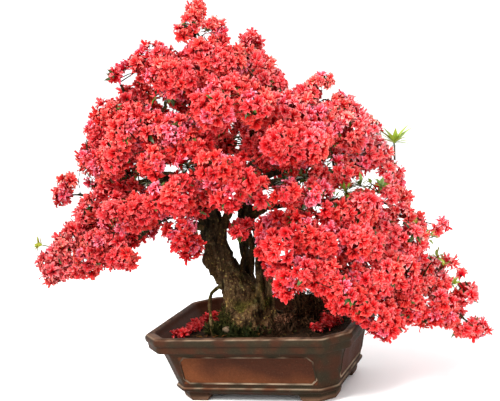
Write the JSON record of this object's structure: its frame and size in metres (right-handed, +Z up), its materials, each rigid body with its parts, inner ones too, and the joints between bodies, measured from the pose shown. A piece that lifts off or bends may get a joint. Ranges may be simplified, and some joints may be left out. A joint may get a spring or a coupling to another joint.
{
  "type": "azalea bonsai",
  "caption": "Flowering azalea bonsai: a thick leaning trunk with clouds of coral-red blossom, planted in a footed rectangular clay pot with cut corners.",
  "frame": {"origin": "middle of the whole object's box, at the level that the pot's feet stand on", "axes": "+X along the pot's long side, +Y away from the side that faces the viewer, +Z up"},
  "size_m": [1.1966, 0.7342, 1.1141],
  "materials": {
    "clay": "satin",
    "screen_mesh": "matte",
    "soil": "matte",
    "bark": "matte",
    "petals": "matte",
    "leaf": "satin",
    "moss": "matte",
    "pebble": "matte"
  },
  "bodies": {
    "root": {"pot": "clay", "screen_left": "screen_mesh", "screen_right": "screen_mesh", "soil": "soil", "wood": "bark", "leaves_right_shoot": "leaf", "leaves_left_tip": "leaf", "leaves_right_inner": "leaf", "leaves_right_low": "leaf", "blossom_apex": "petals", "blossom_crown_top": "petals", "blossom_crest_right": "petals", "blossom_shoulder_left": "petals", "blossom_upper_left": "petals", "blossom_crown_front": "petals", "blossom_left_high": "petals", "blossom_left_front": "petals", "blossom_mid_front": "petals", "blossom_left_rim": "petals", "blossom_bunch_left": "petals", "blossom_ball_left": "petals", "blossom_ball_centre": "petals", "blossom_ball_centre_left": "petals", "blossom_left_low_rear": "petals", "blossom_left_low_middle": "petals", "blossom_left_low_front": "petals", "blossom_left_tip": "petals", "blossom_trunk_bunch": "petals", "blossom_horn": "petals", "blossom_shoulder_right": "petals", "blossom_right_high": "petals", "blossom_ball_right_front": "petals", "blossom_right_wing": "petals", "blossom_right_inner": "petals", "blossom_centre_low": "petals", "blossom_right_belly": "petals", "blossom_right_rim_low": "petals", "blossom_hang_centre": "petals", "blossom_inner_front": "petals", "blossom_low_front": "petals", "blossom_low_middle": "petals", "blossom_low_right": "petals", "blossom_skirt_front": "petals", "blossom_skirt_right": "petals", "blossom_skirt_far": "petals", "blossom_tip_high": "petals", "blossom_tip_low": "petals", "blossom_back_crest": "petals", "blossom_back_high_left": "petals", "blossom_back_high_right": "petals", "blossom_back_left": "petals", "blossom_back_middle": "petals", "blossom_back_right": "petals", "blossom_back_low_right": "petals", "blossom_back_low_left": "petals", "moss_left": "moss", "moss_right": "moss", "fallen_left": "petals", "fallen_right": "petals", "pebble": "pebble"}
  },
  "joints": []
}
